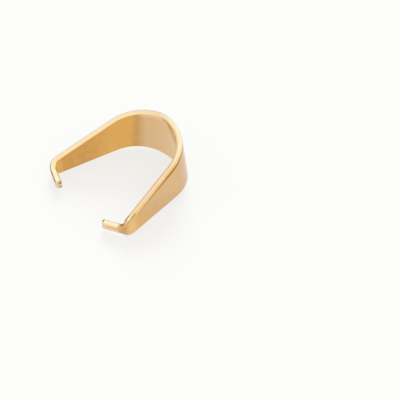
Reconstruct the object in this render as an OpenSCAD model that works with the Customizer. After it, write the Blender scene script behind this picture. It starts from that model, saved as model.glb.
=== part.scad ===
// Bail finding for a drilled bead or stone: one stamped strip, widest at its middle, bent into an
// open loop, with a short prong turned in at the end of each leg. It lies on its side, as it rests
// by itself: on the lower edge of the bow and on the lower corners of both legs. The legs lead
// towards -Y. The origin is below the middle of the loop, on the surface that the bail lies on.

/* [Strip] */
// Thickness of the sheet
sheet_t = 0.4; // [0.3:0.01:0.5]
// Width of the strip at its middle, the widest place
middle_w = 3.7; // [2.4:0.05:5]
// Width to which a leg has tapered where its prong begins
leg_end_w = 1.25; // [0.8:0.05:1.6]
// Length over which the widest place is eased round
ease_l = 0.6; // [0.1:0.1:1.5]
// Rounding of the strip's edges, left by the stamping
edge_r = 0.1; // [0.03:0.01:0.14]

/* [Bow] */
// Inside radius of the crown of the bow
crown_r = 2.77; // [2:0.01:5]
// Angle that the crown covers on either side of its middle
crown_angle = 28.5; // [12:0.5:45]
// Inside radius of each flank, between the crown and a leg
flank_r = 2.48; // [1.5:0.01:4]
// Angle to which the strip has turned where a leg starts, 90 for parallel legs
leg_angle = 80; // [60:1:90]
// How far the bow's middle lies from the strip's middle, towards the left leg
bow_offset = 0.07; // [0:0.01:0.4]

/* [Legs] */
// Straight length of a leg, for a bow at the strip's middle
leg_l = 4.29; // [3:0.01:8]
// Length of the shoulder beside a prong
shoulder_l = 0.5; // [0.2:0.01:0.8]
// Part of the shoulder that reaches into the prong's bend
shoulder_in_bend = 0.4; // [0:0.01:0.45]
// Fullness of the shoulder: 1 for a straight one, 2 for an elliptic one
shoulder_full = 1.4; // [1:0.1:3]

/* [Prongs] */
// Width of a prong
prong_w = 0.58; // [0.4:0.01:0.8]
// Straight length of a prong
prong_l = 1.27; // [0.6:0.01:2]
// Inside radius of the bend between leg and prong
bend_r = 0.17; // [0.08:0.01:0.5]
// Angle by which a prong is turned in from its leg
prong_angle = 76; // [50:1:95]

/* [Hidden] */

// Steps: largest turn from one section to the next, sections along a shoulder, steps of an edge
turn_step = 5;
bend_step = 10;
shoulder_steps = 7;
edge_steps = 2;
least_gap = 0.01;

rad = PI / 180;
left = -1;
right = 1;
half_t = sheet_t / 2;

// Stretches of one half of the strip's middle line, from the bow's middle to the prong's tip:
// length, radius of the middle line (0 where it is straight), largest turn between two sections
function stretches(side) = [
    [(crown_r + half_t) * crown_angle * rad, crown_r + half_t, turn_step],
    [(flank_r + half_t) * (leg_angle - crown_angle) * rad, flank_r + half_t, turn_step],
    [leg_l + side * bow_offset, 0, 0],
    [(bend_r + half_t) * prong_angle * rad, bend_r + half_t, bend_step],
    [prong_l, 0, 0]
];

// Distance from the bow's middle to the start of stretch k
function start(side, k) = k == 0 ? 0 : start(side, k - 1) + stretches(side)[k - 1][0];
function leg_end(side) = start(side, 3);
function tip(side) = start(side, 5);
function shoulder_start(side) = leg_end(side) + shoulder_in_bend - shoulder_l;

// From the place at = [x, y, heading], d further along a line or an arc that turns inwards
function onward(at, d, r) =
    r == 0
    ? [at.x + d * cos(at.z), at.y - d * sin(at.z), at.z]
    : let (h = at.z + d / r / rad)
      [at.x + r * (sin(h) - sin(at.z)), at.y + r * (cos(h) - cos(at.z)), h];

// Place on the middle line at the distance s from the bow's middle, on the right half
function place(s, side, k = 0, at = [0, 0, 0]) =
    let (stretch = stretches(side)[k], d = min(s, stretch[0]), there = onward(at, d, stretch[1]))
    s <= stretch[0] || k == 4 ? there : place(s - stretch[0], side, k + 1, there);

// Half the width that the strip has lost at the distance d from its middle, by an eased wedge
function eased(d) = sqrt(d * d + ease_l * ease_l) - ease_l;
function taper(d, end) = (middle_w - (middle_w - leg_end_w) * eased(d) / eased(end)) / 2;

// Half width of the strip at s: the taper, then the shoulder, then the prong
function half_w(s, side) =
    let (
        shift = side * bow_offset,
        blank = taper(s - shift, leg_end(side) - shift),
        u = (s - shoulder_start(side)) / shoulder_l
    )
    u <= 0 ? blank
    : u >= 1 ? prong_w / 2
    : prong_w / 2 + (blank - prong_w / 2) * pow(1 - pow(u, shoulder_full), 1 / shoulder_full);

// Distances in rising order, each one once
function sorted(v) =
    len(v) < 2 ? v
    : let (m = v[floor(len(v) / 2)])
      concat(sorted([for (s = v) if (s < m) s]), [m], sorted([for (s = v) if (s > m) s]));
function spread(v) = [for (i = [0:len(v) - 1]) if (i == 0 || v[i] - v[i - 1] > least_gap) v[i]];

// Distances of the sections of one half, without its tip
function sections(side) = spread(sorted(concat(
    [for (k = [0:3]) let (p = stretches(side)[k], n = p[1] == 0 ? 1 : ceil(p[0] / p[1] / rad / p[2]))
        for (i = [0:n - 1]) start(side, k) + p[0] * i / n],
    [for (d = [ease_l / 4, ease_l / 2]) d + max(0, side * bow_offset)],
    [for (i = [0:shoulder_steps]) shoulder_start(side) + shoulder_l * sin(90 * i / shoulder_steps)],
    [start(side, 4), tip(side) - edge_r / 2]
)));

// One section: a rectangle with rounded corners, across the sheet (u) and along its width (z)
function outline(w, inset) =
    let (r = edge_r - inset / 2, a = half_t - inset - r, b = w - inset - r)
    [for (q = [0:3]) for (i = [0:edge_steps])
        let (t = 90 * (q + i / edge_steps))
        [(q == 0 || q == 3 ? a : -a) + r * cos(t), (q < 2 ? b : -b) + r * sin(t)]];

function ring(s, side, inset = 0) =
    let (at = place(s, side))
    [for (p = outline(half_w(s, side), inset))
        [side * (at.x + p.x * sin(at.z)), at.y + p.x * cos(at.z), p.y]];

// All sections from the left prong's tip to the right one's
function half_rings(side, first) = concat(
    [for (s = sections(side)) if (s >= first) ring(s, side)],
    [ring(tip(side), side, edge_r / 2)]
);
function backwards(v) = [for (i = [len(v) - 1:-1:0]) v[i]];
rings = concat(backwards(half_rings(left, least_gap)), half_rings(right, 0));
around = len(rings[0]);
points = [for (r = rings) each r];

// The bail's three feet: the lowest points of the bow and of each leg where up is the direction up
function lowest(v, up) = let (h = [for (p = v) p * up]) v[search(min(h), h)[0]];
bow_points = [for (p = points) if (p.y > -crown_r / 2) p];
left_points = [for (p = points) if (p.y < -crown_r && p.x < 0) p];
right_points = [for (p = points) if (p.y < -crown_r && p.x > 0) p];
function unit(v) = v / norm(v);
function up_from(up) =
    let (bow = lowest(bow_points, up), l = lowest(left_points, up), r = lowest(right_points, up))
    unit(cross(l - bow, r - bow));
up = up_from(up_from(up_from([0, 0.2, 1])));
ex = unit([1, 0, 0] - up.x * up);
ey = cross(up, ex);

// Laid down on its feet, with the middle of its box over the origin
laid = [for (p = points) [p * ex, p * ey, p * up]];
function range(v) = [min(v), max(v)];
range_x = range([for (p = laid) p.x]);
range_y = range([for (p = laid) p.y]);
floor_z = min([for (p = laid) p.z]);
middle = [(range_x[0] + range_x[1]) / 2, (range_y[0] + range_y[1]) / 2, floor_z];

walls = [for (i = [0:len(rings) - 2]) for (j = [0:around - 1])
    let (a = i * around + j, b = i * around + (j + 1) % around)
    each [[a, b + around, b], [a, a + around, b + around]]];
left_end = [for (j = [0:around - 1]) j];
right_end = [for (j = [around - 1:-1:0]) (len(rings) - 1) * around + j];

module bail() {
    color("gold")
    polyhedron(
        points = [for (p = laid) p - middle],
        faces = concat(walls, [left_end, right_end]),
        convexity = 6
    );
}

bail();
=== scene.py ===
"""Pinch bail: a stamped and bent strip of gold-plated brass, on a pale studio table.

The strip is one surface: a rounded section carried along the bent middle line of the blank.
Lengths are in metres and angles in radians, as Blender keeps them. The marks that the strip
carries for its materials, and so the places in them, are in millimetres from the bow's middle.
"""

import math

import bpy
import numpy as np
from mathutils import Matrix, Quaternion, Vector


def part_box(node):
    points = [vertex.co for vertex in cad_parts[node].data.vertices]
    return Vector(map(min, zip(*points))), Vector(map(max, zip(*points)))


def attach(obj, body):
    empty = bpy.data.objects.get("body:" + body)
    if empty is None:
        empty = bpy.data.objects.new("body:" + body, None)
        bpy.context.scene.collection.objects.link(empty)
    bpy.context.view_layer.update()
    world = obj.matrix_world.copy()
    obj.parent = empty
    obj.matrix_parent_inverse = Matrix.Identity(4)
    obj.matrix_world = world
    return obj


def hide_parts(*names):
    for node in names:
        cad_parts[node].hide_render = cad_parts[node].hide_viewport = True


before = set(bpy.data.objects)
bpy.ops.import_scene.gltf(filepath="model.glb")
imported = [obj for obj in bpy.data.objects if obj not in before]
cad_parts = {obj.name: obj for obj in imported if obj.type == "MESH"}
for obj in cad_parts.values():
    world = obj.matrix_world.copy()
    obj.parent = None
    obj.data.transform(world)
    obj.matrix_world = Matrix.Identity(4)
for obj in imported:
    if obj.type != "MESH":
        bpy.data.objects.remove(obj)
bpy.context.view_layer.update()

bl_info = {
    "name": "Pinch bail",
    "version": (1, 0, 0),
    "blender": (4, 5, 0),
    "location": "View3D > Sidebar > Bail",
    "description": "Makes a stamped pinch bail, its plating and a pale table to show it on",
    "category": "Add Mesh",
}

MM = 0.001
NODE = "bail"

# Grid of the strip: distance between two sections, and steps over a face and round a corner
SECTION_STEP = 0.032 * MM
FACE_STEPS = 20
CORNER_STEPS = 8

# Easing of the bends: samples of the heading, half span in the prong's bend, what is added to it
# away from the bend, and the distance over which that is reached
EASE_SAMPLES = 9
EASE_IN_BEND = 0.07 * MM
EASE_ADDED = 0.25 * MM
BEND_ZONE = 1.2 * MM

# Largest rounding as a share of the half thickness, in the strip and in a prong
STRIP_ROUNDING = 1.25
PRONG_ROUNDING = 0.85

# How far the rounding of a tip closes, 1 for a whole quarter circle
TIP_CLOSING = 0.96

# Waviness: share of each sine wave, its radians to a millimetre along and across, and its start
WAVES = ((0.5, 1.9, 0.7, 0.4), (0.3, 3.3, -1.9, 1.7), (0.2, 0.8, 2.6, 0.0))

# Laying down: first guess of the direction up, and passes that settle it
FIRST_UP = (0.0, 0.2, 1.0)
SETTLING_PASSES = 3

# Material numbers on the strip, and the lean of a face's normal from which it counts as cut edge
FACE, EDGE, TIP = range(3)
EDGE_LEAN = 0.3

# Spans of the runs of tones, on both halves of the strip and on one, and how much they lean
WHOLE_STRIP = (-10.0, 10.0)
HALF_STRIP = (0.0, 10.0)
TONE_SLANT = 0.142

# Patterns: blotches to a metre on the plating and on the tips, how far the second blotches are
# shifted, the grain's lines to a millimetre, its pebbles to a metre and its depth
BLOTCH_SCALE = 2400.0
TIP_BLOTCH_SCALE = 6500.0
SECOND_BLOTCHES_AT = (0.013, 0.007, 0.021)
LINE_SCALE = 26.0
PEBBLE_SCALE = 9000.0
GRAIN_DEPTH = 0.004 * MM

# Room and table: the greyer side of the room, the cosines between which it sets in, and the tints
GREY_SIDE = (-0.92, 0.38, 0.05)
GREY_FROM = 0.74
GREY_FULL = 0.97
ROOM_WHITE = (1.0, 0.985, 0.965, 1.0)
ROOM_GREY = (0.62, 0.57, 0.53, 1.0)
BACKDROP = (0.97, 0.97, 0.97, 1.0)
TABLE_GLOW_TINT = (1.0, 0.985, 0.97, 1.0)
TABLE_SIDE = 3.0

IMAGE_SIDE_PX = 400
SENSOR_WIDTH_MM = 36.0
CLIP_RATIO = 100


def length(label, words, millimetres):
    """A length in metres, shown with its unit."""
    return bpy.props.FloatProperty(
        name=label, description=words, default=millimetres * MM, min=0.0, precision=6, unit="LENGTH"
    )


def angle(label, words, degrees):
    """An angle in radians, shown in degrees."""
    return bpy.props.FloatProperty(
        name=label, description=words, default=math.radians(degrees), subtype="ANGLE"
    )


def colour(label, words, red, green, blue):
    """A linear colour."""
    return bpy.props.FloatVectorProperty(
        name=label,
        description=words,
        default=(red, green, blue),
        size=3,
        min=0.0,
        max=1.0,
        subtype="COLOR",
    )


def share(label, words, value, top=1.0):
    """A plain number from 0 to top."""
    return bpy.props.FloatProperty(name=label, description=words, default=value, min=0.0, max=top)


class StripSizes(bpy.types.PropertyGroup):
    """Sizes of the stamped blank and of its bends."""

    thickness: length("Sheet thickness", "Thickness of the sheet", 0.4)
    middle_width: length("Middle width", "Width of the strip at its middle, the widest place", 3.7)
    leg_end_width: length("Leg end width", "Width to which a leg has tapered at its prong", 1.25)
    ease: length("Eased length", "Length over which the widest place is eased round", 0.6)
    roll_width: length("Roll width", "How far the outer edge's roll reaches over the cut edge", 0.11)
    roll_depth: length("Roll depth", "How far the outer edge's roll reaches down the face", 0.11)
    inner_edge: length("Inner edge radius", "Rounding of the crisper inner edges", 0.09)
    crown_radius: length("Crown radius", "Inside radius of the crown of the bow", 2.77)
    crown_angle: angle("Crown angle", "Angle that the crown covers on either side", 28.5)
    flank_radius: length("Flank radius", "Inside radius of each flank of the bow", 2.48)
    leg_angle: angle("Leg angle", "Angle to which the strip has turned where a leg starts", 80.0)
    bow_offset: length("Bow offset", "How far the bow lies off the strip's middle", 0.07)
    leg_length: length("Leg length", "Straight length of a leg", 4.29)
    shoulder_length: length("Shoulder length", "Length of the shoulder beside a prong", 0.5)
    shoulder_in_bend: length("Shoulder in bend", "Part of the shoulder inside the prong's bend", 0.4)
    prong_width: length("Prong width", "Width of a prong", 0.58)
    prong_length: length("Prong length", "Straight length of a prong", 1.27)
    bend_radius: length("Bend radius", "Inside radius between leg and prong", 0.17)
    prong_angle: angle("Prong angle", "Angle by which a prong is turned in", 76.0)
    prong_edge: length("Prong edge radius", "Rounding of the prongs' edges", 0.13)
    tip_round: length("Tip rounding", "Length over which a tip's outer corner is worn round", 0.17)
    tip_wear: share("Tip wear", "Part of the outer half of the sheet that is worn away at the tip", 0.6)
    shoulder_full: share("Shoulder fullness", "1 for a straight shoulder, 2 for an elliptic one", 1.4, 4.0)
    waviness: length("Waviness", "How far the bent sheet strays from a true surface", 0.006)


class PlatingFinish(bpy.types.PropertyGroup):
    """Colours and gloss of the plating; many of the colours are painted highlights, painted shade and
    painted reflections.
    """

    outside: colour("Outside", "Plating on the outside of the legs", 0.73, 0.465, 0.215)
    bow_outside: colour("Bow outside", "Plating on the outside of the bow", 0.63, 0.36, 0.14)
    end_outside: colour("End outside", "Plating on the outside of the legs' ends", 0.81, 0.465, 0.15)
    # Painted brown shade round the right bend, also a thin line under the rim of the bow's middle
    bend_brown_shade: colour("Bend brown", "Browner plating round the right bend", 0.60, 0.37, 0.14)
    # Painted highlight where the right bend starts
    bend_highlight: colour("Bend gold", "Brighter plating where the right bend starts", 0.93, 0.57, 0.22)
    prong_side: colour("Prong side", "Outer face of the right prong", 0.95, 0.67, 0.39)
    # Painted shade on the outer face of the left prong
    prong_shade: colour("Prong dull side", "Outer face of the left prong", 0.28, 0.21, 0.11)
    # Painted reflection: deep gold inside the legs, with a painted highlight towards the bow
    inside: colour("Inside", "Deep plating on the inside of the legs", 0.69, 0.365, 0.09)
    inside_highlight: colour("Inside bright", "The same, brighter, towards the bow", 0.82, 0.45, 0.11)
    # Painted reflection on the bow's inside: pale, duller beside its middle, olive shade towards the legs
    bow_inside: colour("Bow inside", "Plating on the inside of the bow", 0.83, 0.565, 0.29)
    bow_middle: colour("Bow inside, duller", "The same on either side of its middle", 0.78, 0.54, 0.275)
    bow_shade: colour("Bow shade", "Olive plating where the bow meets the deeper gold", 0.63, 0.375, 0.12)
    rosy: colour("Rosy blotches", "Pinkish blotches in the plating", 0.82, 0.52, 0.33)
    olive: colour("Olive blotches", "Greenish blotches in the plating", 0.66, 0.53, 0.26)
    # Painted reflection across the left rim: peach inside, cream middle, pale roll
    rim_peach: colour("Rim peach", "Inner part of the left rim", 1.0, 0.76, 0.42)
    rim_cream: colour("Rim cream", "Middle of the left rim", 1.0, 0.82, 0.54)
    rim_pale: colour("Rim pale", "Rolled outer part of the left rim", 0.90, 0.79, 0.63)
    # Painted highlight on the rim of the bow's right flank and on its roll
    rim_highlight: colour("Rim bright", "Burnished rim of the bow's right flank", 1.0, 0.885, 0.59)
    rim_silver: colour("Rim silver", "Rolled outer part of that bright rim", 0.95, 0.89, 0.70)
    # Painted shade in the inner part of that rim
    rim_inner_shade: colour("Rim fold", "Deeper inner part of that bright rim", 0.82, 0.62, 0.36)
    rim_gold: colour("Rim gold", "Rim of the right leg", 0.98, 0.75, 0.44)
    rim_deep: colour("Rim deep gold", "Rolled outer part of the right leg's rim", 0.86, 0.60, 0.29)
    # Painted grey shade in the inner part of the right leg's rim
    rim_grey_shade: colour("Rim worn", "Greyed inner part of the right leg's rim", 0.68, 0.52, 0.36)
    # Painted highlight on the top of the prongs and at their ends
    prong_highlight: colour("Prong top", "Bright top of the prongs", 1.0, 0.95, 0.64)
    # Painted shade in the folds of the bends; also a dark metal tint in the tips' blotches
    fold_shade_and_dark_metal: colour("Pinched metal", "Dark folds of the bends", 0.20, 0.125, 0.05)
    bend_orange: colour("Bend orange", "Stretched metal on the rim of the right bend", 0.80, 0.46, 0.19)
    # Painted highlight under the rim of the bow's middle
    bow_rim_highlight: colour("Bow peach", "Brighter plating under the rim of the bow's middle", 0.93, 0.65, 0.37)
    # Painted shade under the rim of the bow's right flank
    bow_rim_shade: colour("Bow rust", "Warmer plating under the rim of the bow's right flank", 0.88, 0.52, 0.18)
    # Painted dark reflection line under the rim's roll, and painted shade of deeper gold beside it
    rim_shade_line: colour("Rim tarnish", "Line of tarnish under the rim", 0.42, 0.19, 0.02)
    rim_line_fringe: colour("Rim glow", "Deeper gold beside that line", 0.84, 0.45, 0.14)
    sheared: colour("Sheared tip", "Dark sheared metal of the tips", 0.30, 0.20, 0.11)
    sheared_light: colour("Light sheared tip", "Smeared bright metal of the tips", 0.90, 0.70, 0.42)
    tip_depth: length("Tip depth", "How far the dull metal of a tip reaches up its prong", 0.12)
    face_roughness: share("Face roughness", "Roughness of the plated faces", 0.14)
    cut_roughness: share("Cut edge roughness", "Roughness of the cut edges", 0.34)
    tip_roughness: share("Tip roughness", "Roughness of the sheared tips", 0.45)


class StageSettings(bpy.types.PropertyGroup):
    """Where the camera and the lights stand."""

    azimuth: angle("Azimuth", "Camera's direction round the bail", 45.85)
    elevation: angle("Elevation", "Camera's height above the table", 42.69)
    roll: angle("Roll", "How far the camera leans to its left", 3.5)
    distance: length("Distance", "Distance from the camera to what it looks at", 171.1)
    scale_px: bpy.props.FloatProperty(name="Scale", description="Pixels to a millimetre", default=16.444)
    target: bpy.props.FloatVectorProperty(
        name="Target",
        description="Point that the camera looks at",
        default=(5.57 * MM, 0.987 * MM, 2.036 * MM),
        size=3,
        subtype="XYZ",
        unit="LENGTH",
    )
    key_elevation: angle("Key elevation", "Height of the large light behind the bail", 30.0)
    key_spread: angle("Key spread", "Apparent size of the large light", 34.0)
    key_tint: colour("Key tint", "Colour of the large light", 0.80, 0.98, 1.0)
    key_strength: share("Key strength", "Strength of the large light", 3.3, 100.0)
    sky_strength: share("Sky strength", "Strength of the white surroundings", 1.0, 100.0)
    table_glow: share("Table glow", "Light that comes up through the translucent table", 0.755, 10.0)
    table_white: share("Table white", "Share of light that the table sends back", 0.16)


def stretches(size, side):
    """Length and middle-line radius of each stretch of one half, from the bow's middle outwards."""
    half = size.thickness / 2
    crown, flank, bend = (r + half for r in (size.crown_radius, size.flank_radius, size.bend_radius))
    return (
        (crown * size.crown_angle, crown),
        (flank * (size.leg_angle - size.crown_angle), flank),
        (size.leg_length + side * size.bow_offset, None),
        (bend * size.prong_angle, bend),
        (size.prong_length, None),
    )


def heading_at(size, s, side):
    """Heading of one half at the distances s: it rises by d / radius along an arc and stays along a line."""
    heading = np.zeros_like(s)
    rest = s.copy()
    for run, radius in stretches(size, side):
        d = np.clip(rest, 0.0, run)
        rest = rest - d
        if radius:
            heading = heading + d / radius
    return heading


def middle_line(size, s, side, ease_span):
    """Middle line of one half at the rising distances s.

    The heading is averaged over a short span on either side, so that arcs run into lines without
    a jump, and the place is the running sum of (cos heading, -sin heading) ds.
    """
    step = np.linspace(-1.0, 1.0, EASE_SAMPLES)[:, None] * ease_span[None]
    mirrored = np.abs(s[None] + step)
    sign = np.where(s[None] + step < 0.0, -1.0, 1.0)
    heading = (sign * heading_at(size, mirrored, side)).mean(axis=0)
    ds = np.diff(s)
    half_way = (heading[1:] + heading[:-1]) / 2
    x = np.concatenate([[0.0], np.cumsum(np.cos(half_way) * ds)])
    y = np.concatenate([[0.0], np.cumsum(-np.sin(half_way) * ds)])
    return x, y, heading


def half_width(size, s, side):
    """Half width at s: an eased wedge sqrt(d^2 + e^2) - e, a shoulder (1 - u^p)^(1/p), then the prong."""
    runs = [run for run, _ in stretches(size, side)]
    leg_end = sum(runs[:3])
    shift = side * size.bow_offset

    def eased(d):
        return np.sqrt(d * d + size.ease**2) - size.ease

    fall = (size.middle_width - size.leg_end_width) / eased(leg_end - shift)
    blank = (size.middle_width - fall * eased(s - shift)) / 2
    start = leg_end + size.shoulder_in_bend - size.shoulder_length
    u = np.clip((s - start) / size.shoulder_length, 0.0, 1.0)
    prong = size.prong_width / 2
    p = size.shoulder_full
    return prong + (blank - prong) * (1.0 - u**p) ** (1.0 / p)


def section(size):
    """The section's points, as multipliers that any width and thickness can take.

    Point j lies at u = k (a - p) + p cos, z = m (b - q) + q sin, where a and b are the half
    thickness and half width and the nearer corner is a quarter of an ellipse, p across the sheet
    and q along its width. The angle on the ellipse is atan(q sin f, p cos f) for evenly spaced
    directions f of its normal. The columns are k, m, cos, sin, p, q and the normal's part along
    the width. The points run round once: outer face, lower edge, inner face, upper edge.
    """
    roll, depth, inner = size.roll_width, size.roll_depth, size.inner_edge
    turn = np.linspace(0.0, math.pi / 2, CORNER_STEPS + 1)
    outer_turn = np.arctan2(depth * np.sin(turn), roll * np.cos(turn))
    face = np.linspace(1.0, -1.0, FACE_STEPS + 1)[1:-1]
    rows = []

    def add(*columns):
        rows.append(np.stack(np.broadcast_arrays(*columns), axis=-1).reshape(-1, len(columns)))

    add(1.0, face, 1.0, 0.0, roll, depth, 0.0)
    add(1.0, -1.0, np.cos(outer_turn), -np.sin(outer_turn), roll, depth, -np.sin(turn))
    add(-1.0, -1.0, -np.sin(turn), -np.cos(turn), inner, inner, -np.cos(turn))
    add(-1.0, -face, -1.0, 0.0, inner, inner, 0.0)
    add(-1.0, 1.0, -np.cos(turn), np.sin(turn), inner, inner, np.sin(turn))
    add(1.0, 1.0, np.cos(outer_turn[::-1]), np.sin(outer_turn[::-1]), roll, depth, np.cos(turn))
    return np.concatenate(rows)


def wave(size, s, z):
    """Straying of the bent sheet: the sum of a few slow sine waves along and across the strip."""
    p, q = s / MM, z / MM
    return size.waviness * sum(part * np.sin(k * p + m * q + start) for part, k, m, start in WAVES)


def strip_half(size, side):
    """Grid of one half: section points (columns) carried along the middle line (rows), with its marks.

    The marks are the distance along the strip, the place across it, the depth below the upper rim
    and the place through the sheet, from -1 inside to 1 outside. Towards the tip the section draws
    in by r (1 - sqrt(1 - c e^2)), and its outer half wears down to 1 - w (1 - sqrt(1 - n^2)) of
    itself, where e and n rise from 0 to 1 at the tip.
    """
    runs = [run for run, _ in stretches(size, side)]
    tip = sum(runs)
    bend_start = sum(runs[:3])
    s = np.linspace(0.0, tip, int(tip / SECTION_STEP))
    off_bend = np.clip(np.abs(s - bend_start - runs[3] / 2) / BEND_ZONE, 0.0, 1.0)
    x, y, heading = middle_line(size, s, side, EASE_IN_BEND + EASE_ADDED * off_bend)
    k, m, cos, sin, p, q, _ = section(size).T
    end = np.clip((s - tip + size.inner_edge) / size.inner_edge, 0.0, 1.0)
    inset = size.inner_edge * (1.0 - np.sqrt(1.0 - TIP_CLOSING * end**2))
    a = (size.thickness / 2 - inset)[:, None]
    b = (half_width(size, s, side) - inset)[:, None]
    in_prong = np.clip((s - bend_start) / runs[3], 0.0, 1.0)[:, None]
    largest = STRIP_ROUNDING + (PRONG_ROUNDING - STRIP_ROUNDING) * in_prong
    p = np.minimum(p + (size.prong_edge - p) * in_prong, largest * a)
    q = np.minimum(q + (size.prong_edge - q) * in_prong, PRONG_ROUNDING * np.minimum(a, b))
    u = k * (a - p) + p * cos
    z = m * (b - q) + q * sin
    near_tip = np.clip(1.0 - (tip - s) / size.tip_round, 0.0, 1.0)[:, None]
    u = np.where(u > 0.0, u * (1.0 - size.tip_wear * (1.0 - np.sqrt(1.0 - near_tip**2))), u)
    u = u + wave(size, side * s[:, None], z) * np.minimum(b / MM, 1.0)
    sx, sy = np.sin(heading)[:, None], np.cos(heading)[:, None]
    grid = np.stack([side * (x[:, None] + u * sx), y[:, None] + u * sy, z], axis=-1)
    return grid, np.broadcast_to(side * s[:, None], z.shape), z, b - z, u / a


def lowest(points, up):
    """The point that is lowest where up is the direction up."""
    return points[np.argmin(points @ up)]


def lay_down(size, points):
    """Turns the strip onto its three feet and sets it in the CAD node's box.

    The feet are the lowest points of the bow and of both legs. The plane through them gives the
    direction up, and a few passes settle it. The strip is centred from side to side, and its back
    and its feet touch the box.
    """
    flat = points.reshape(-1, 3)
    bow = flat[flat[:, 1] > -size.crown_radius / 2]
    far = flat[flat[:, 1] < -size.crown_radius]
    left, right = far[far[:, 0] < 0.0], far[far[:, 0] > 0.0]
    up = np.array(FIRST_UP)
    for _ in range(SETTLING_PASSES):
        foot = lowest(bow, up)
        up = np.cross(lowest(left, up) - foot, lowest(right, up) - foot)
        up = up / np.linalg.norm(up)
    ex = np.array([1.0, 0.0, 0.0]) - up[0] * up
    ex = ex / np.linalg.norm(ex)
    laid = points @ np.stack([ex, np.cross(up, ex), up], axis=1)
    low, high = (np.array(corner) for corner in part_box(NODE))
    all_points = laid.reshape(-1, 3)
    to_low, to_high = low - all_points.min(axis=0), high - all_points.max(axis=0)
    return laid + np.array([(to_low[0] + to_high[0]) / 2, to_high[1], to_low[2]])


def closed_mesh(name, grid, marks):
    """A mesh from a grid whose rows are closed rings, with a fan over each end.

    A quad's corners go on to the next ring first and then round it, so that its face points
    outwards. marks maps an attribute's name to its value at each point of the grid.
    """
    rows, around = grid.shape[:2]
    ends = np.stack([grid[0].mean(axis=0), grid[-1].mean(axis=0)])
    points = np.concatenate([grid.reshape(-1, 3), ends])
    i = np.arange(rows - 1)[:, None] * around
    j = np.arange(around)[None]
    n = (j + 1) % around
    quads = np.stack([i + j, i + j + around, i + n + around, i + n], axis=-1).reshape(-1, 4)
    first, last, base = rows * around, rows * around + 1, (rows - 1) * around
    ring = np.arange(around)
    after = (ring + 1) % around
    fans = np.concatenate([
        np.stack([ring, after, np.full(around, first)], axis=-1),
        np.stack([base + after, base + ring, np.full(around, last)], axis=-1),
    ])
    loops = np.concatenate([quads.ravel(), fans.ravel()])
    starts = np.concatenate([np.arange(len(quads)) * 4, len(quads) * 4 + np.arange(len(fans)) * 3])
    mesh = bpy.data.meshes.new(name)
    mesh.vertices.add(len(points))
    mesh.vertices.foreach_set("co", points.ravel())
    mesh.loops.add(len(loops))
    mesh.loops.foreach_set("vertex_index", loops)
    mesh.polygons.add(len(starts))
    mesh.polygons.foreach_set("loop_start", starts)
    mesh.update(calc_edges=True)
    for label, values in marks.items():
        attribute = mesh.attributes.new(label, "FLOAT", "POINT")
        on_fans = [values[0].mean(keepdims=True), values[-1].mean(keepdims=True)]
        full = np.concatenate([values.ravel(), *on_fans])
        attribute.data.foreach_set("value", full.astype(np.float32))
    mesh.shade_smooth()
    obj = bpy.data.objects.new(name, mesh)
    bpy.context.scene.collection.objects.link(obj)
    return obj, len(quads)


def build_strip(size, name="pinch_bail"):
    """The whole bail: both halves of the strip joined at the bow's middle and laid on their feet."""
    halves = [strip_half(size, side) for side in (-1.0, 1.0)]
    grid, s, z, gap, u = (np.concatenate([left[:0:-1], right]) for left, right in zip(*halves))
    k, _, _, _, _, _, lean = section(size).T
    marks = {
        "along": s / MM,
        "across": z / MM,
        "below_rim": gap / MM,
        "through": u,
        "cut_edge": np.broadcast_to(np.abs(lean), s.shape),
        "inside": np.broadcast_to(np.where(k < 0.0, 1.0, 0.0), s.shape),
    }
    return closed_mesh(name, lay_down(size, grid), marks)


def new_group(name, inputs, outputs):
    """An empty shader node group with named sockets: (name, socket type, default)."""
    group = bpy.data.node_groups.new(name, "ShaderNodeTree")
    for label, kind, default in inputs:
        socket = group.interface.new_socket(label, in_out="INPUT", socket_type=kind)
        if default is not None:
            socket.default_value = default
    for label, kind in outputs:
        group.interface.new_socket(label, in_out="OUTPUT", socket_type=kind)
    return group, group.nodes.new("NodeGroupInput"), group.nodes.new("NodeGroupOutput")


def add_node(tree, kind, links=None, **values):
    """One node with its settings. links maps an input's name or number to a socket or a plain value."""
    node = tree.nodes.new(kind)
    for label, value in values.items():
        setattr(node, label, value)
    for label, source in (links or {}).items():
        if isinstance(source, bpy.types.NodeSocket):
            tree.links.new(source, node.inputs[label])
        else:
            node.inputs[label].default_value = source
    return node


def named_attribute(tree, label):
    """Value of one of the strip's own marks."""
    return add_node(tree, "ShaderNodeAttribute", attribute_name=label).outputs["Fac"]


def rgba(value):
    """A colour with full opacity."""
    return (*value, 1.0)


def mixed(tree, factor, first, second):
    """Colour between first and second. The numbers are the Mix node's sockets for colours."""
    links = {0: factor, 6: first, 7: second}
    return add_node(tree, "ShaderNodeMix", links, data_type="RGBA").outputs[2]


def reckoned(tree, operation, *values):
    """Result of one Math node from sockets or plain numbers."""
    return add_node(tree, "ShaderNodeMath", dict(enumerate(values)), operation=operation).outputs[0]


def product(tree, first, second):
    """Two values multiplied."""
    return reckoned(tree, "MULTIPLY", first, second)


def ramp(tree, value, low, high, first=0.0, last=1.0, shape="LINEAR"):
    """Runs from first to last as a value goes from low to high, and stays level outside."""
    links = dict(enumerate((value, low, high, first, last)))
    return add_node(tree, "ShaderNodeMapRange", links, interpolation_type=shape).outputs[0]


def step_up(tree, value, low, high, first=0.0, last=1.0):
    """The same with a smooth start and end."""
    return ramp(tree, value, low, high, first, last, "SMOOTHSTEP")


def noise(tree, vector, scale, detail, roughness, distortion=0.0):
    """Cloudy pattern between 0 and 1."""
    links = {
        "Vector": vector,
        "Scale": scale,
        "Detail": detail,
        "Roughness": roughness,
        "Distortion": distortion,
    }
    return add_node(tree, "ShaderNodeTexNoise", links).outputs["Fac"]


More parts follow.
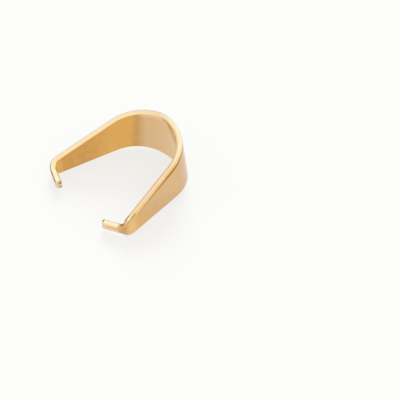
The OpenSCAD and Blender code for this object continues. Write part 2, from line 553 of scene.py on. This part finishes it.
def tones(tree, value, span, stops):
    """Run of colours along a value within a span: stops are (value, colour) in rising order."""
    low, high = span
    node = add_node(tree, "ShaderNodeValToRGB", {"Fac": ramp(tree, value, low, high)})
    points = node.color_ramp.elements
    while len(points) < len(stops):
        points.new(0.5)
    for point, (at, tint) in zip(points, stops):
        point.position = (at - low) / (high - low)
        point.color = rgba(tint)
    return node.outputs["Color"]


def levels(tree, value, span, stops):
    """Run of plain numbers from 0 to 1 along a value: stops are (value, number) in rising order."""
    return tones(tree, value, span, [(at, (level, level, level)) for at, level in stops])


def spots(tree, base, along, other, marks):
    """Soft marks over a base colour.

    Each mark is a tint, its place and reach along the strip, and its place and reach by another
    value. It is full up to 0.4 of its reach and then fades.
    """
    for tint, place, reach, other_place, other_reach in marks:
        masks = []
        for value, at, size in ((along, place, reach), (other, other_place, other_reach)):
            off = reckoned(tree, "ABSOLUTE", reckoned(tree, "SUBTRACT", value, at))
            masks.append(step_up(tree, off, 0.4 * size, size, 1.0, 0.0))
        base = mixed(tree, product(tree, *masks), base, rgba(tint))
    return base


def mottle_group():
    """Soft blotches of two other tints over a base colour, a few tenths of a millimetre wide."""
    group, given, result = new_group(
        "Plating mottle",
        [
            ("Vector", "NodeSocketVector", None),
            ("Base", "NodeSocketColor", None),
            ("First tint", "NodeSocketColor", None),
            ("Second tint", "NodeSocketColor", None),
            ("Scale", "NodeSocketFloat", BLOTCH_SCALE),
            ("Amount", "NodeSocketFloat", 0.5),
        ],
        [("Color", "NodeSocketColor"), ("Mask", "NodeSocketFloat")],
    )
    vector, scale, amount = (given.outputs[label] for label in ("Vector", "Scale", "Amount"))
    pattern = noise(group, vector, scale, 2.5, 0.55, 0.6)
    moved = add_node(group, "ShaderNodeVectorMath", {0: vector, 1: SECOND_BLOTCHES_AT}, operation="ADD")
    other = noise(group, moved.outputs[0], scale, 2.0, 0.5, 0.4)
    first = product(group, step_up(group, pattern, 0.46, 0.68), amount)
    second = product(group, step_up(group, other, 0.48, 0.66), amount)
    tinted = mixed(group, first, given.outputs["Base"], given.outputs["First tint"])
    both = mixed(group, second, tinted, given.outputs["Second tint"])
    group.links.new(both, result.inputs["Color"])
    group.links.new(pattern, result.inputs["Mask"])
    return group


def grain_group():
    """Fine relief of rolled sheet: faint lines along the strip over an even, very fine pebbling."""
    group, given, result = new_group(
        "Rolled grain",
        [
            ("Along", "NodeSocketFloat", 0.0),
            ("Across", "NodeSocketFloat", 0.0),
            ("Vector", "NodeSocketVector", None),
            ("Stretch", "NodeSocketFloat", 0.06),
        ],
        [("Height", "NodeSocketFloat")],
    )
    slow = product(group, given.outputs["Along"], given.outputs["Stretch"])
    place = add_node(group, "ShaderNodeCombineXYZ", {"X": slow, "Y": given.outputs["Across"]}).outputs[0]
    lines = noise(group, place, LINE_SCALE, 3.0, 0.6)
    pebbles = noise(group, given.outputs["Vector"], PEBBLE_SCALE, 2.0, 0.5)
    group.links.new(reckoned(group, "ADD", lines, pebbles), result.inputs["Height"])
    return group


def start_material(name):
    """A metal material: its tree, its Principled shader and the piece's own coordinates."""
    material = bpy.data.materials.new(name)
    material.use_nodes = True
    tree = material.node_tree
    shader = tree.nodes["Principled BSDF"]
    shader.inputs["Metallic"].default_value = 1.0
    return material, tree, shader, add_node(tree, "ShaderNodeTexCoord").outputs["Object"]


def blotches(tree, mottle, place, base, first, second, amount, scale=BLOTCH_SCALE):
    """Colour with the shared blotches in two tints, and their mask."""
    links = {
        "Vector": place,
        "Base": base,
        "First tint": rgba(first),
        "Second tint": rgba(second),
        "Scale": scale,
        "Amount": amount,
    }
    node = add_node(tree, "ShaderNodeGroup", links, node_tree=mottle)
    return node.outputs["Color"], node.outputs["Mask"]


def patchy_gloss(tree, shader, mask, roughness, below, above):
    """Roughness that follows the blotches, from a little below its value to a little above."""
    varied = ramp(tree, mask, 0.3, 0.7, roughness - below, roughness + above)
    tree.links.new(varied, shader.inputs["Roughness"])


def relief(tree, shader, grain, place, along, across, strength):
    """Bump from the rolled grain, whose lines follow the first of the two values."""
    links = {"Along": along, "Across": across, "Vector": place}
    rolled = add_node(tree, "ShaderNodeGroup", links, node_tree=grain)
    height = {"Strength": strength, "Distance": GRAIN_DEPTH, "Height": rolled.outputs["Height"]}
    tree.links.new(add_node(tree, "ShaderNodeBump", height).outputs["Normal"], shader.inputs["Normal"])


def inside_colour(tree, finish, along, across, distance):
    """Inside of the strip: pale in the bow, then olive, then the deep gold of the legs, with soft marks.
    The change from the pale bow through olive to the deep gold is a painted reflection, and the marks
    are painted highlights and painted shade under the rim and inside the left leg's end.

    The tones follow the distance from the bow's middle plus a share of the place across, so that
    their limits lean. The marks' other value is the depth below the rim.
    """
    slanted = reckoned(tree, "MULTIPLY_ADD", across, TONE_SLANT, distance)
    base = tones(tree, slanted, HALF_STRIP, (
        (0.3, finish.bow_inside),
        (1.3, finish.bow_middle),
        (1.75, finish.bow_middle),
        (2.4, finish.bow_shade),
        (2.85, finish.inside_highlight),
        (4.3, finish.inside_highlight),
        (5.8, finish.inside),
        (8.7, finish.inside),
        (9.0, finish.prong_highlight),
    ))
    return spots(tree, base, along, named_attribute(tree, "below_rim"), (
        (finish.bow_rim_highlight, -0.8, 1.5, 0.0, 0.4),
        (finish.bow_rim_shade, 1.1, 1.2, 0.1, 1.1),
        (finish.bend_brown_shade, 0.35, 0.8, 0.05, 0.22),
        (finish.inside_highlight, -8.2, 0.6, 0.7, 0.9),
    ))


def outside_colour(tree, finish, along):
    """Outside of the strip: browner round the bow, deeper gold at the legs' ends, a painted highlight and
    painted brown shade at the right bend, the right prong's side and painted shade on the left prong's side.
    """
    return tones(tree, along, WHOLE_STRIP, (
        (-8.45, finish.prong_shade),
        (-8.1, finish.end_outside),
        (-6.0, finish.outside),
        (-3.5, finish.outside),
        (-1.0, finish.bow_outside),
        (2.0, finish.bow_outside),
        (4.2, finish.outside),
        (6.0, finish.outside),
        (7.5, finish.end_outside),
        (8.0, finish.bend_highlight),
        (8.35, finish.bend_highlight),
        (8.53, finish.bend_brown_shade),
        (8.7, finish.bend_brown_shade),
        (8.9, finish.prong_side),
    ))


def rim_line(tree, finish, distance, outside, plain):
    """Colour with a painted dark reflection line outside under the rim's roll, strongest where the legs
    start, with a deeper gold fringe of painted shade beside it.
    """
    below = named_attribute(tree, "below_rim")
    strength = levels(tree, distance, HALF_STRIP, (
        (1.2, 0.0), (2.2, 0.8), (3.3, 1.0), (4.6, 1.0), (5.4, 0.65), (6.2, 0.45), (7.4, 0.1), (7.7, 0.0),
        (8.5, 0.15), (10.0, 0.15),
    ))
    strength = product(tree, strength, outside)
    # Fringe of painted shade beside the painted line
    glow = product(tree, strength, step_up(tree, below, 0.28, 0.7, 0.7, 0.0))
    line = product(tree, strength, step_up(tree, below, 0.19, 0.31, 1.0, 0.0))
    return mixed(tree, line, mixed(tree, glow, plain, rgba(finish.rim_line_fringe)), rgba(finish.rim_shade_line))


def plated_face(finish, mottle, grain):
    """Plated faces of the strip, with soft rosy and olive blotches that are stronger outside the legs."""
    material, tree, shader, place = start_material("gold_plate_face")
    along, across, inside = (named_attribute(tree, label) for label in ("along", "across", "inside"))
    distance = reckoned(tree, "ABSOLUTE", along)
    outside = step_up(tree, inside, 0.0, 1.0, 1.0, 0.0)
    outer = outside_colour(tree, finish, along)
    base = mixed(tree, inside, outer, inside_colour(tree, finish, along, across, distance))
    patchy = product(tree, outside, step_up(tree, distance, 2.0, 5.0, 0.0, 0.24))
    amount = reckoned(tree, "ADD", patchy, 0.17)
    colour_out, mask = blotches(tree, mottle, place, base, finish.rosy, finish.olive, amount)
    tree.links.new(rim_line(tree, finish, distance, outside, colour_out), shader.inputs["Base Color"])
    # Painted shade: the left prong's outer face is made mostly non-metal, so its dark colour shows
    prong_shade_share = product(tree, outside, step_up(tree, along, -8.4, -8.1, 0.8, 0.0))
    tree.links.new(step_up(tree, prong_shade_share, 0.0, 1.0, 1.0, 0.0), shader.inputs["Metallic"])
    patchy_gloss(tree, shader, mask, finish.face_roughness, 0.03, 0.05)
    relief(tree, shader, grain, place, along, across, 0.05)
    return material


def edge_colour(tree, finish, along, through):
    """Cut edge: three runs of tones side by side through the sheet, with soft marks at the right bend.
    The runs give the metal's colour, and their changes along and through the rim are painted
    reflection, painted highlight and painted shade; the marks are a painted highlight and painted
    shade in the bend's folds.

    The marks' other value is the place through the sheet.
    """
    left_prong = (-8.75, finish.prong_highlight)
    bend = ((8.5, finish.bend_orange), (8.8, finish.bend_brown_shade))
    right_prong = (8.95, finish.prong_highlight)
    inner = tones(tree, along, WHOLE_STRIP, (
        left_prong,
        (-8.2, finish.rim_peach),
        (-1.2, finish.rim_peach),
        (-0.1, finish.rim_inner_shade),
        (3.0, finish.rim_inner_shade),
        (3.8, finish.rim_grey_shade),
        *bend,
        right_prong,
    ))
    middle = tones(tree, along, WHOLE_STRIP, (
        left_prong,
        (-8.2, finish.rim_cream),
        (-1.2, finish.rim_cream),
        (0.3, finish.rim_highlight),
        (3.0, finish.rim_highlight),
        (4.2, finish.rim_gold),
        (8.2, finish.rim_gold),
        *bend,
        right_prong,
    ))
    outer = tones(tree, along, WHOLE_STRIP, (
        left_prong,
        (-8.2, finish.rim_pale),
        (-0.6, finish.rim_pale),
        (0.6, finish.rim_silver),
        (2.0, finish.rim_highlight),
        (3.6, finish.rim_deep),
        (8.2, finish.rim_deep),
        *bend,
        (8.95, finish.rim_cream),
    ))
    base = mixed(tree, step_up(tree, through, -0.75, -0.1), inner, middle)
    base = mixed(tree, step_up(tree, through, 0.0, 0.7), base, outer)
    return spots(tree, base, along, through, (
        (finish.prong_highlight, 8.1, 0.17, -0.05, 0.7),
        (finish.bend_brown_shade, 8.0, 0.6, 0.62, 0.42),
        (finish.fold_shade_and_dark_metal, 8.15, 0.3, -1.0, 0.9),
        (finish.fold_shade_and_dark_metal, 8.64, 0.19, -0.7, 1.2),
    ))


def edge_shade_line(tree, along, through, right):
    """Share of a painted dark line on the cut edge's outer roll: painted shade at the left prong and the
    painted rim line on the right. It lies further out on the right than on the left.
    """
    past = reckoned(tree, "SUBTRACT", through, step_up(tree, right, 0.0, 1.0, 0.0, 0.24))
    strength = levels(tree, along, WHOLE_STRIP, (
        (-8.3, 1.0), (-8.05, 0.0), (1.2, 0.0), (2.2, 0.6), (3.3, 0.9), (4.6, 0.9), (5.4, 0.5), (6.2, 0.35),
        (7.4, 0.15), (7.7, 0.0), (8.5, 0.1), (8.8, 0.5),
    ))
    return product(tree, strength, step_up(tree, past, 0.52, 0.82))


def cut_edge(finish, mottle, grain):
    """Cut edges: bright metal whose brightness is partly a painted highlight, with painted dark lines on the
    roll and the punch's fine marks across the sheet.
    """
    material, tree, shader, place = start_material("gold_plate_cut_edge")
    along, across, through = (named_attribute(tree, label) for label in ("along", "across", "through"))
    right = step_up(tree, along, -1.0, 1.0)
    shade_line_share = edge_shade_line(tree, along, through, right)
    # Colour of the painted dark line: fold shade on the left, the rim line on the right
    dark = mixed(tree, right, rgba(finish.fold_shade_and_dark_metal), rgba(finish.rim_shade_line))
    base = mixed(tree, shade_line_share, edge_colour(tree, finish, along, through), dark)
    colour_out, mask = blotches(tree, mottle, place, base, finish.rim_gold, finish.rim_pale, 0.25)
    tree.links.new(colour_out, shader.inputs["Base Color"])
    # The painted dark line is also made less metallic
    tree.links.new(step_up(tree, shade_line_share, 0.0, 1.0, 1.0, 0.1), shader.inputs["Metallic"])
    patchy_gloss(tree, shader, mask, finish.cut_roughness, 0.05, 0.06)
    relief(tree, shader, grain, place, across, along, 0.2)
    return material


def sheared_tip(finish, mottle, grain):
    """Sheared ends of the prongs: dull metal, streaked on the left, dark at the top of the right one."""
    material, tree, shader, place = start_material("gold_plate_sheared_tip")
    along, across, through = (named_attribute(tree, label) for label in ("along", "across", "through"))
    streaks = tones(tree, across, (-0.35, 0.35), (
        (-0.17, finish.sheared),
        (-0.08, finish.sheared_light),
        (0.05, finish.sheared_light),
        (0.12, finish.sheared),
        (0.18, finish.sheared),
        (0.26, finish.sheared_light),
    ))
    streaks = mixed(tree, step_up(tree, through, -0.2, 0.5), streaks, rgba(finish.sheared_light))
    dull = mixed(tree, step_up(tree, through, 0.1, 0.6), rgba(finish.sheared), rgba(finish.prong_side))
    base = mixed(tree, step_up(tree, along, -1.0, 1.0), streaks, dull)
    colour_out, _ = blotches(
        tree, mottle, place, base, finish.fold_shade_and_dark_metal, finish.sheared_light, 0.35, TIP_BLOTCH_SCALE)
    tree.links.new(colour_out, shader.inputs["Base Color"])
    shader.inputs["Roughness"].default_value = finish.tip_roughness
    relief(tree, shader, grain, place, across, along, 0.3)
    return material


def assign_materials(obj, quads, materials, tip):
    """Face, cut edge and tip materials.

    A quad is cut edge where its normal leans far enough along the width, and tip where it lies
    outside the two places of tip, left and right. The fans over the ends are tip as well.
    """
    for material in materials:
        obj.data.materials.append(material)
    mark, along = (np.empty(len(obj.data.vertices), np.float32) for _ in range(2))
    obj.data.attributes["cut_edge"].data.foreach_get("value", mark)
    obj.data.attributes["along"].data.foreach_get("value", along)
    points = np.empty(len(obj.data.loops), np.int32)
    obj.data.loops.foreach_get("vertex_index", points)
    corners = points[: quads * 4].reshape(-1, 4)
    at = along[corners].mean(axis=1)
    plain = np.where(mark[corners].mean(axis=1) > EDGE_LEAN, EDGE, FACE)
    index = np.full(len(obj.data.polygons), TIP, np.int32)
    index[:quads] = np.where((at > tip[1]) | (at < tip[0]), TIP, plain)
    obj.data.polygons.foreach_set("material_index", index)


class BAIL_OT_add_strip(bpy.types.Operator):
    """Make the bent strip and its plating"""

    bl_idname = "pinch_bail.add_strip"
    bl_label = "Pinch bail"

    def execute(self, context):
        scene = context.scene
        size = scene.bail_sizes
        obj, quads = build_strip(size)
        mottle, grain = mottle_group(), grain_group()
        finish = scene.bail_finish
        makers = (plated_face, cut_edge, sheared_tip)
        ends = [sum(run for run, _ in stretches(size, side)) for side in (-1, 1)]
        tip = [side * (end - finish.tip_depth) / MM for side, end in zip((-1, 1), ends)]
        assign_materials(obj, quads, [make(finish, mottle, grain) for make in makers], tip)
        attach(obj, "root")
        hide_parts(NODE)
        return {"FINISHED"}


def flat_square(name, side):
    """A square mesh on the table's plane, side metres across."""
    h = side / 2
    mesh = bpy.data.meshes.new(name)
    mesh.from_pydata([(-h, -h, 0.0), (h, -h, 0.0), (h, h, 0.0), (-h, h, 0.0)], [], [(0, 1, 2, 3)])
    obj = bpy.data.objects.new(name, mesh)
    bpy.context.scene.collection.objects.link(obj)
    return obj


def table_top(glow, white):
    """Plain pale light table: a matt white top with an even glow from below."""
    obj = flat_square("table", TABLE_SIDE)
    material = bpy.data.materials.new("pale_table")
    material.use_nodes = True
    shader = material.node_tree.nodes["Principled BSDF"]
    shader.inputs["Base Color"].default_value = (white, white, white, 1.0)
    shader.inputs["Roughness"].default_value = 0.9
    shader.inputs["Specular IOR Level"].default_value = 0.0
    shader.inputs["Emission Color"].default_value = TABLE_GLOW_TINT
    shader.inputs["Emission Strength"].default_value = glow
    obj.data.materials.append(material)


def direction(azimuth, elevation):
    """Unit vector from the bail towards a camera or light."""
    level = math.cos(elevation)
    return Vector((math.sin(azimuth) * level, -math.cos(azimuth) * level, math.sin(elevation)))


def surroundings(strength):
    """White room, greyer low on its left, which only the metal mirrors."""
    world = bpy.data.worlds.new("white_room")
    world.use_nodes = True
    bpy.context.scene.world = world
    tree = world.node_tree
    place = add_node(tree, "ShaderNodeTexCoord").outputs["Generated"]
    nearness = add_node(tree, "ShaderNodeVectorMath", {0: place, 1: GREY_SIDE}, operation="DOT_PRODUCT")
    dark = step_up(tree, nearness.outputs["Value"], GREY_FROM, GREY_FULL)
    room = mixed(tree, dark, ROOM_WHITE, ROOM_GREY)
    seen = add_node(tree, "ShaderNodeLightPath").outputs["Is Camera Ray"]
    tint = mixed(tree, seen, room, BACKDROP)
    background = tree.nodes["Background"]
    tree.links.new(tint, background.inputs["Color"])
    background.inputs["Strength"].default_value = strength


def add_sun(name, azimuth, elevation, spread, strength, tint):
    """A large soft light, far away."""
    light = bpy.data.lights.new(name, "SUN")
    light.energy = strength
    light.color = tint
    light.angle = spread
    obj = bpy.data.objects.new(name, light)
    obj.visible_glossy = False
    obj.rotation_euler = direction(azimuth, elevation).to_track_quat("Z", "Y").to_euler()
    bpy.context.scene.collection.objects.link(obj)


class BAIL_OT_add_stage(bpy.types.Operator):
    """Make the pale table, the soft lights and the camera"""

    bl_idname = "pinch_bail.add_stage"
    bl_label = "Table, lights and camera"

    def execute(self, context):
        scene = context.scene
        stage = scene.bail_stage
        table_top(stage.table_glow, stage.table_white)
        surroundings(stage.sky_strength)
        behind = stage.azimuth + math.pi
        key = (stage.key_elevation, stage.key_spread, stage.key_strength, stage.key_tint)
        add_sun("soft_key", behind, *key)
        camera = bpy.data.cameras.new("camera")
        camera.sensor_width = SENSOR_WIDTH_MM
        camera.lens = stage.scale_px * stage.distance / MM * SENSOR_WIDTH_MM / IMAGE_SIDE_PX
        camera.clip_start = stage.distance / CLIP_RATIO
        camera.clip_end = stage.distance * CLIP_RATIO
        obj = bpy.data.objects.new("camera", camera)
        back = direction(stage.azimuth, stage.elevation)
        obj.location = Vector(stage.target) + back * stage.distance
        lean = Quaternion((0.0, 0.0, 1.0), stage.roll)
        obj.rotation_euler = (back.to_track_quat("Z", "Y") @ lean).to_euler()
        scene.collection.objects.link(obj)
        scene.camera = obj
        scene.view_settings.view_transform = "Standard"
        return {"FINISHED"}


class BAIL_PT_panel(bpy.types.Panel):
    """Sidebar panel with the bail's sizes, finish and stage"""

    bl_idname = "BAIL_PT_panel"
    bl_label = "Pinch bail"
    bl_space_type = "VIEW_3D"
    bl_region_type = "UI"
    bl_category = "Bail"

    def draw(self, context):
        layout = self.layout
        for owner in (context.scene.bail_sizes, context.scene.bail_finish, context.scene.bail_stage):
            box = layout.box()
            for name in owner.__annotations__:
                box.prop(owner, name)
        layout.operator(BAIL_OT_add_strip.bl_idname)
        layout.operator(BAIL_OT_add_stage.bl_idname)


CLASSES = (StripSizes, PlatingFinish, StageSettings, BAIL_OT_add_strip, BAIL_OT_add_stage, BAIL_PT_panel)
SETTINGS = {"bail_sizes": StripSizes, "bail_finish": PlatingFinish, "bail_stage": StageSettings}


def register():
    """Registers the classes and puts the settings on the scene."""
    for cls in CLASSES:
        bpy.utils.register_class(cls)
    for name, group in SETTINGS.items():
        setattr(bpy.types.Scene, name, bpy.props.PointerProperty(type=group))


def unregister():
    """Takes the settings and classes away again."""
    for name in SETTINGS:
        delattr(bpy.types.Scene, name)
    for cls in reversed(CLASSES):
        bpy.utils.unregister_class(cls)


def main():
    """Makes the bail and its stage."""
    register()
    bpy.ops.pinch_bail.add_strip()
    bpy.ops.pinch_bail.add_stage()


if __name__ == "__main__":
    main()
